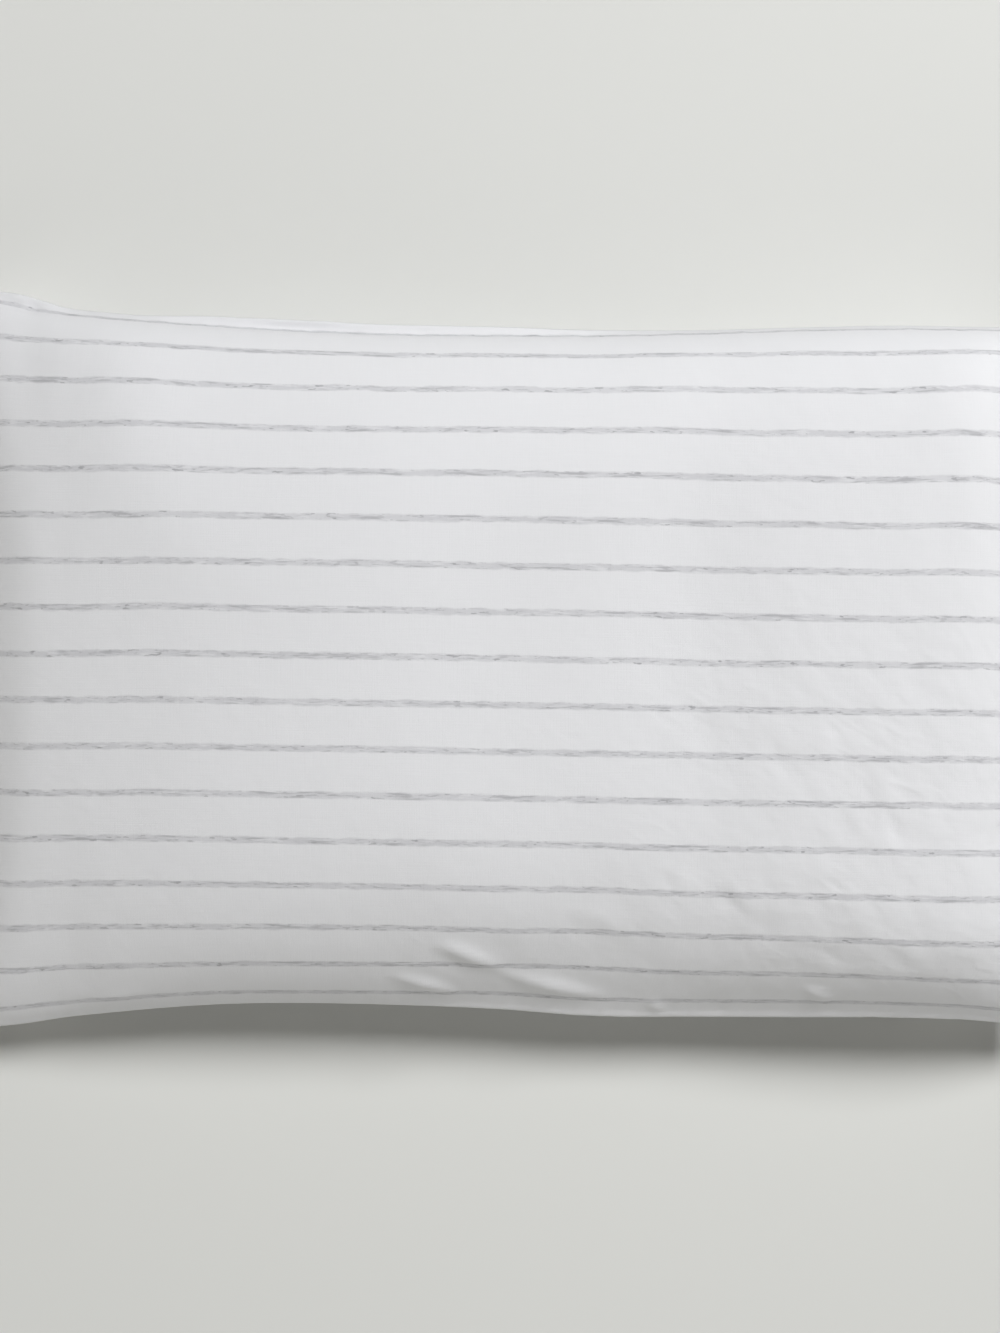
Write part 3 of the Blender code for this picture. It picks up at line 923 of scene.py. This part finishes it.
def cloth_material(name, looks, sizes, striped):
    """Matt woven cloth, with or without its stripes."""
    finish = {"Roughness": looks.roughness, "Specular IOR Level": 0.25}
    finish |= {"Sheen Weight": looks.sheen, "Sheen Roughness": 0.5}
    material, nodes, shader = new_material(name, finish)
    cloth = nodes.out(0, "ShaderNodeUVMap", uv_map="cloth")
    woven = effect(nodes, plain_weave, Cloth=cloth, Yarn=looks.yarn)
    if striped:
        laid = dict(Pitch=sizes.stripe_pitch, First=sizes.first_stripe, Width=sizes.stripe_width)
        stripes = effect(nodes, woven_stripes, Cloth=cloth, **laid)
        colour = nodes.mix(stripes["Band"], looks.cloth_colour, looks.stripe_colour)
        dark = stripes["Streak"] * looks.streak_strength
        colour = nodes.mix(dark, colour, looks.streak_colour)
    else:
        colour = looks.flap_colour[:3]
    nodes.join(shader["Base Color"], nodes.scaled(colour, woven["Tone and shade"]))
    bump = nodes.bump(woven["Height"], WEAVE_DEPTH, looks.weave_bump)
    creases = effect(nodes, soft_creases, Cloth=cloth)
    bump = nodes.bump(creases["Height"], looks.crease_depth, 1.0, Normal=bump)
    nodes.join(shader["Normal"], bump)
    return material


def darker(colour, share):
    """A colour at a share of its strength."""
    return tuple(c * share for c in colour[:3]) + (1.0,)


def thread_material(looks):
    """Sewing thread, with its fine twist, and painted shade that darkens the twist's grooves."""
    finish = {"Roughness": 0.6, "Sheen Weight": 0.2}
    material, nodes, shader = new_material("sewing_thread", finish)
    place = nodes.out("Object", "ShaderNodeTexCoord")
    twist = dict(Scale=900.0, Distortion=1.5, Vector=place)
    twist = nodes.out("Fac", "ShaderNodeTexWave", twist, bands_direction="DIAGONAL")
    colour = looks.thread_colour
    # Painted shade: the thread's colour is darker where the twist's relief is low, in its grooves.
    nodes.join(shader["Base Color"], nodes.mix(twist, darker(colour, 0.82), colour))
    nodes.join(shader["Normal"], nodes.bump(twist, TWIST_DEPTH, 0.5))
    return material


def floor_material(stage):
    """The plain pale surface, faintly uneven, which fades into the backdrop far from the case."""
    finish = {"Roughness": 0.9, "Specular IOR Level": 0.1, "Emission Strength": 1.0}
    material, nodes, shader = new_material("plain_surface", finish)
    place = nodes.out("Object", "ShaderNodeTexCoord")
    away = nodes.out("Value", "ShaderNodeVectorMath", {0: place}, operation="LENGTH")
    far = nodes.ramp(away, FADE_START, FADE_END)
    cloudy = nodes.noise(place, 2.0, scale=2.0)
    near = nodes.mix(cloudy, darker(stage.floor_colour, 0.985), stage.floor_colour)
    nodes.join(shader["Base Color"], nodes.mix(far, near, BLACK))
    nodes.join(shader["Emission Color"], nodes.mix(far, BLACK, stage.backdrop_colour))
    return material


def room_world(stage):
    """The room round the stage: a pale backdrop, which gives the case itself hardly any light."""
    world = bpy.data.worlds.new("soft_room")
    world.use_nodes = True
    nodes = Nodes(world.node_tree)
    room = world.node_tree.nodes["Background"].inputs
    seen = nodes.out("Is Camera Ray", "ShaderNodeLightPath")
    nodes.join(room["Color"], stage.backdrop_colour)
    nodes.join(room["Strength"], nodes.ramp(seen, 0.0, 1.0, stage.room_light, 1.0))
    return world


# ---- Stitches ----

# A stitch's length as a share of the step from one to the next, how high it lies on the hem, and
# how many lines of the grid the row leaves free at the side seams.
STITCH_SHARE = 0.74
STITCH_RAISE = 0.00018
STITCH_ENDS = 8
STITCH_SEED = 7


def stitch_tree():
    """Lays a short, rounded stitch along a line at every step."""
    inputs = {
        "Line": "Geometry",
        "Step": 0.0032,
        "Length": 0.0024,
        "Thickness": 0.00055,
        "Unevenness": 0.10,
        "Seed": STITCH_SEED,
        "Thread": "Material",
    }
    outputs = {"Stitches": "Geometry"}
    nodes, given = new_tree("row_of_stitches", "GeometryNodeTree", inputs, outputs)
    line = nodes.out(0, "GeometryNodeMeshToCurve", {"Mesh": given["Line"]})
    spots = dict(Curve=line, Length=given["Step"])
    spots = nodes.values(nodes.add("GeometryNodeCurveToPoints", spots, mode="LENGTH"))
    bead = nodes.out("Mesh", "GeometryNodeMeshUVSphere", dict(Segments=8, Rings=6, Radius=0.5))
    size = dict(X=given["Thickness"], Y=given["Thickness"], Z=given["Length"])
    size = nodes.out(0, "ShaderNodeCombineXYZ", size)
    uneven = {2: 1.0 - given["Unevenness"], 3: 1.0, "Seed": given["Seed"]}
    uneven = nodes.out(1, "FunctionNodeRandomValue", uneven, data_type="FLOAT")
    laid = dict(Points=spots["Points"], Rotation=spots["Rotation"], Instance=bead)
    laid["Scale"] = nodes.scaled(size, uneven)
    laid = nodes.out(0, "GeometryNodeInstanceOnPoints", laid)
    real = nodes.out(0, "GeometryNodeRealizeInstances", {0: laid})
    sewn = dict(Geometry=real, Material=given["Thread"])
    nodes.add("NodeGroupOutput", {0: nodes.out(0, "GeometryNodeSetMaterial", sewn)})
    return nodes.tree


def stitch_lines(name, lines, looks):
    """A plain mesh of stitches along the given lines of points."""
    ids = grid_ids((len(lines), len(lines[0])))
    edges = np.stack([ids[:, :-1], ids[:, 1:]], axis=-1).reshape(-1, 2).tolist()
    guide = mesh_object(name + "_line", np.concatenate(lines), edges=edges)
    rows = guide.modifiers.new("stitches", "NODES")
    rows.node_group = stitch_tree()
    given = {
        "Step": looks.stitch_step,
        "Length": looks.stitch_step * STITCH_SHARE,
        "Thickness": looks.thread_thickness,
        "Seed": STITCH_SEED,
        "Thread": thread_material(looks),
    }
    for socket in rows.node_group.interface.items_tree:
        if socket.name in given:
            rows[socket.identifier] = given[socket.name]
    guide.update_tag()
    bpy.context.view_layer.update()
    evaluated = guide.evaluated_get(bpy.context.evaluated_depsgraph_get())
    result = bpy.data.meshes.new_from_object(evaluated)
    result.name = name
    discard(guide)
    result.shade_smooth()
    return linked(name, result)


# ---- The settings a user would change ----


def number(name, description, default, **kind):
    """A plain number."""
    return bpy.props.FloatProperty(name=name, description=description, default=default, **kind)


metres = partial(number, unit="LENGTH")
factor = partial(number, subtype="FACTOR")
watts = partial(number, unit="POWER")


def colour(name, description, *rgb):
    """A colour in linear light."""
    given = {"name": name, "description": description, "default": (*rgb, 1.0)}
    return bpy.props.FloatVectorProperty(**given, size=4, min=0.0, max=1.0, subtype="COLOR")


class PillowcaseSizes(bpy.types.PropertyGroup):
    """Sizes of the cut cloth, the sewing and the filling."""

    flat_length: metres("Flat length", "Length of the empty case laid flat", 0.750)
    flat_width: metres("Flat width", "Width of the empty case laid flat", 0.500)
    half_length: metres("Half length", "Half the filled length at the middle", 0.355)
    stripe_pitch: metres("Stripe pitch", "From one stripe to the next", 0.0297)
    first_stripe: metres("First stripe", "From the near seam to the first stripe", 0.0163)
    stripe_width: metres("Stripe width", "Width of a stripe", 0.0044)
    edge_thickness: metres("Edge thickness", "Thickness of the sewn edge", 0.0018)
    hem_depth: metres("Hem depth", "Depth of the hems at the mouth", 0.026)
    hem_thickness: metres("Hem thickness", "Thickness of a hem", 0.0020)
    slot_height: metres("Slot height", "Gap between the hems", 0.0034)
    slot_depth: metres("Slot depth", "Depth of the gap between the hems", 0.018)
    slot_share: factor("Slot share", "Share of the width that is open", 0.84)
    pucker: metres("Pucker", "Height of the small puckers at the seams", 0.0006)
    spare_cloth: number("Spare cloth", "How much larger the cloth is than the filling", 1.026)
    filling_pressure: number("Filling pressure", "How hard the filling presses outwards", 55.0)
    seam_hold: factor("Seam hold", "How firmly the seams are held", 0.02)
    middle_hold: factor("Middle hold", "How firmly the filling holds the cloth", 0.30)
    cloth_stiffness: number("Cloth stiffness", "Bending stiffness of the cloth", 0.4)
    most_move: metres("Most movement", "How far settling may move the cloth", 0.008)


class PillowcaseLooks(bpy.types.PropertyGroup):
    """Colours and finishes of the cloth and the thread."""

    cloth_colour: colour("Cloth", "Colour of the white cloth", 0.784, 0.788, 0.808)
    stripe_colour: colour("Stripe", "Colour of the stripes", 0.624, 0.626, 0.650)
    streak_colour: colour("Streak", "Colour of the stripes' dark yarns", 0.405, 0.405, 0.425)
    flap_colour: colour("Flap", "Colour of the tucked-in flap", 0.76, 0.76, 0.76)
    thread_colour: colour("Thread", "Colour of the sewing thread", 0.80, 0.80, 0.80)
    streak_strength: factor("Streak strength", "How dark the yarns in the stripes are", 0.72)
    roughness: factor("Roughness", "Roughness of the cloth", 0.88)
    sheen: factor("Sheen", "Soft fibre sheen of the cloth", 0.12)
    yarn: metres("Yarn", "Width of a yarn", 0.00055)
    weave_bump: factor("Weave bump", "Strength of the weave's relief", 0.45)
    crease_depth: metres("Crease depth", "Depth of the soft creases in slack cloth", 0.0008)
    stitch_step: metres("Stitch step", "From one stitch to the next", 0.0032)
    thread_thickness: metres("Thread thickness", "Thickness of a stitch", 0.0006)


class PillowcaseStage(bpy.types.PropertyGroup):
    """The surface, the lights and the camera."""

    floor_colour: colour("Surface", "Colour of the surface", 0.717, 0.722, 0.700)
    fill_colour: colour("Fill light colour", "Colour of the low fill lights", 1.0, 0.985, 0.93)
    backdrop_colour: colour("Backdrop", "Colour of the room behind the stage", 0.70, 0.70, 0.68)
    camera_height: metres("Camera height", "Height of the camera over the surface", 2.3)
    camera_x: metres("Camera X", "Place of the camera along the case", 0.0)
    camera_y: metres("Camera Y", "Place of the camera across the case", -MIDDLE_Y)
    lens: number("Lens", "Focal length on a 36 mm long side", 91.2, unit="CAMERA")
    key_power: watts("Key light", "Power of the main light", 155.0)
    fill_power: watts("Fill lights", "Power of the strongest low fill light", 18.0)
    room_light: number("Room light", "Strength of the light from all round", 0.01)


def settings_of(context):
    """The sizes, the looks and the stage that are set."""
    scene = context.scene
    return scene.pillowcase_sizes, scene.pillowcase_looks, scene.pillowcase_stage


# ---- Operators ----

# The flap: how thick it is, how far behind the hem's edge it starts, how near it comes to the
# hem and to the slot's end, how much narrower than the slot it is, and its steps from its edge in.
FLAP_THICKNESS, FLAP_SETBACK, FLAP_GAP = 0.0012, 0.0040, 0.0003
FLAP_NARROWER, FLAP_STEPS, FLAP_ROUND = 0.035, 6, 0.0004
# Where the flap's weave starts on the cloth, so that it isn't the hem's.
FLAP_WEAVE = 0.70

# The lights: the way each lies from the case, how far off, how wide it is, and its share of the
# main light's or the fill lights' power. They point a little above the surface.
LIGHTS = (
    ("key", (0.40, 0.56, 1.0), 4.0, 1.6, 1.0),
    ("front_fill", (0.0, -1.0, 0.45), 2.0, 1.6, 0.47),
    ("corner_fill", (-0.7, -0.7, 0.10), 5.0, 1.0, 1.0),
    ("left_fill", (-1.0, 0.0, 0.30), 2.0, 1.0, 0.35),
    ("right_fill", (1.0, 0.0, 0.30), 2.0, 1.0, 0.18),
)
LIGHT_AIM = Vector((0, 0, 0.05))
FLOOR_HALF = 4.0
SENSOR = 36.0

# The lines that the case leaves for its hems' stitches and for its flap.
made_lines = {}


class PILLOWCASE_OT_make_case(bpy.types.Operator):
    """Makes the front and back panels, sewn together and filled"""

    bl_idname = "pillowcase.make_case"
    bl_label = "Make the filled case"

    def execute(self, context):
        sizes, looks, _ = settings_of(context)
        front, back = (even_grid(is_front, sizes.half_length) for is_front in (True, False))
        rim = grid_rim(front.shape)
        front[rim] = back[rim] = (front[rim] + back[rim]) / 2
        for panel in (front, back):
            panel[..., 1] -= MIDDLE_Y
        front, back = settle_cloth(front, back, sizes)
        back[..., 2] = np.maximum(back[..., 2], 0.0)

        places = line_places(sizes.flat_length), line_places(sizes.flat_width)
        flat = places[0] * sizes.flat_length, places[1] * sizes.flat_width
        front = dress_panel(finer_grid(front, places), *flat, sizes, True)
        back = dress_panel(finer_grid(back, places), *flat, sizes, False)
        open_mouth(front, back, *flat, sizes)
        material = cloth_material("striped_cloth_finish", looks, sizes, striped=True)
        parts = case_mesh(front, back, *flat, sizes)
        case = finished_piece("striped_case", *parts, material, "filled_case")

        row = int(np.argmin(np.abs(sizes.flat_length - flat[0] - sizes.hem_depth)))
        inner = slice(STITCH_ENDS, -STITCH_ENDS)
        made_lines["hem"] = [
            front[row, inner] + (0, 0, STITCH_RAISE),
            back[row, inner] - (0, 0, STITCH_RAISE),
        ]
        made_lines["mouth"] = (front[-1] + back[-1]) / 2
        made_lines["mouth_across"] = flat[1]
        return {"FINISHED"}


class PILLOWCASE_OT_make_flap(bpy.types.Operator):
    """Makes the part of the tucked-in flap that shows in the mouth"""

    bl_idname = "pillowcase.make_flap"
    bl_label = "Make the tucked-in flap"

    def execute(self, context):
        if "mouth" not in made_lines:
            raise RuntimeError("The filled case is made before its flap")
        sizes, looks, _ = settings_of(context)
        across = made_lines["mouth_across"]
        wide = off_middle(across, sizes) < sizes.slot_share - FLAP_NARROWER
        line, across = made_lines["mouth"][wide], across[wide]
        top = sizes.slot_height / 2 - FLAP_GAP
        depth = sizes.slot_depth - FLAP_GAP - FLAP_SETBACK
        back_in = [-(FLAP_SETBACK + depth * k / FLAP_STEPS) for k in range(FLAP_STEPS + 1)]
        outline = [(x, top) for x in back_in]
        outline += [(x, top - FLAP_THICKNESS) for x in reversed(back_in)]
        outline.append((FLAP_ROUND - FLAP_SETBACK, top - FLAP_THICKNESS / 2))
        points = [(p[0] + x, p[1], p[2] + z) for p in line for x, z in outline]
        marks = [(FLAP_WEAVE + x, float(mark)) for mark in across for x, z in outline]
        ids = grid_ids((len(line), len(outline)))
        faces = grid_quads(np.concatenate([ids, ids[:, :1]], axis=1), True).tolist()
        faces += [ids[0, ::-1].tolist(), ids[-1].tolist()]
        uvs = [marks[k] for face in faces for k in face]
        material = cloth_material("flap_cloth_finish", looks, sizes, striped=False)
        flap = finished_piece("inner_flap", points, faces, uvs, material, "tuck_flap")
        return {"FINISHED"}


class PILLOWCASE_OT_stitch_hems(bpy.types.Operator):
    """Sews the two hems of the mouth with a row of stitches each"""

    bl_idname = "pillowcase.stitch_hems"
    bl_label = "Stitch the hems"

    def execute(self, context):
        if "hem" not in made_lines:
            raise RuntimeError("The filled case is made before its hems are sewn")
        stitches = stitch_lines("hem_stitches", made_lines["hem"], settings_of(context)[1])
        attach(stitches, BODY)
        return {"FINISHED"}


class PILLOWCASE_OT_set_stage(bpy.types.Operator):
    """Makes the plain surface, the soft light and the camera above the case"""

    bl_idname = "pillowcase.set_stage"
    bl_label = "Set the stage"

    def execute(self, context):
        stage = settings_of(context)[2]
        scene = context.scene
        floor = flat_square("plain_floor", FLOOR_HALF)
        floor.data.materials.append(floor_material(stage))

        scene.world = room_world(stage)
        for name, direction, distance, size, share in LIGHTS:
            light = bpy.data.lights.new(name, "AREA")
            light.shape = "DISK"
            light.size = size
            light.energy = (stage.key_power if name == "key" else stage.fill_power) * share
            if name != "key":
                light.color = stage.fill_colour[:3]
            lamp = linked(name, light)
            lamp.location = Vector(direction).normalized() * distance
            lamp.rotation_euler = (LIGHT_AIM - lamp.location).to_track_quat("-Z", "Y").to_euler()

        lens = bpy.data.cameras.new("camera")
        lens.lens = stage.lens
        lens.sensor_width = SENSOR
        lens.sensor_fit = "AUTO"
        scene.camera = linked("camera", lens)
        scene.camera.location = (stage.camera_x, stage.camera_y, stage.camera_height)
        scene.view_settings.view_transform = "Standard"
        return {"FINISHED"}


class PILLOWCASE_PT_panel(bpy.types.Panel):
    """Lists the settings and the steps"""

    bl_idname = "PILLOWCASE_PT_panel"
    bl_label = "Pillowcase"
    bl_space_type = "VIEW_3D"
    bl_region_type = "UI"
    bl_category = "Pillowcase"

    def draw(self, context):
        for label, group in zip(("Sizes", "Looks", "Stage"), settings_of(context)):
            box = self.layout.box()
            box.label(text=label)
            for name in group.bl_rna.properties.keys():
                if name not in {"rna_type", "name"}:
                    box.prop(group, name)
        for operator in STEPS:
            self.layout.operator(operator.bl_idname)


GROUPS = (
    ("pillowcase_sizes", PillowcaseSizes),
    ("pillowcase_looks", PillowcaseLooks),
    ("pillowcase_stage", PillowcaseStage),
)
STEPS = (
    PILLOWCASE_OT_make_case,
    PILLOWCASE_OT_make_flap,
    PILLOWCASE_OT_stitch_hems,
    PILLOWCASE_OT_set_stage,
)


def register():
    for name, group in GROUPS:
        bpy.utils.register_class(group)
        setattr(bpy.types.Scene, name, bpy.props.PointerProperty(type=group))
    for made in (*STEPS, PILLOWCASE_PT_panel):
        bpy.utils.register_class(made)


def unregister():
    for made in (PILLOWCASE_PT_panel, *reversed(STEPS)):
        bpy.utils.unregister_class(made)
    for name, group in reversed(GROUPS):
        delattr(bpy.types.Scene, name)
        bpy.utils.unregister_class(group)


def main():
    register()
    bpy.ops.pillowcase.make_case()
    bpy.ops.pillowcase.make_flap()
    bpy.ops.pillowcase.stitch_hems()
    bpy.ops.pillowcase.set_stage()


if __name__ == "__main__":
    main()
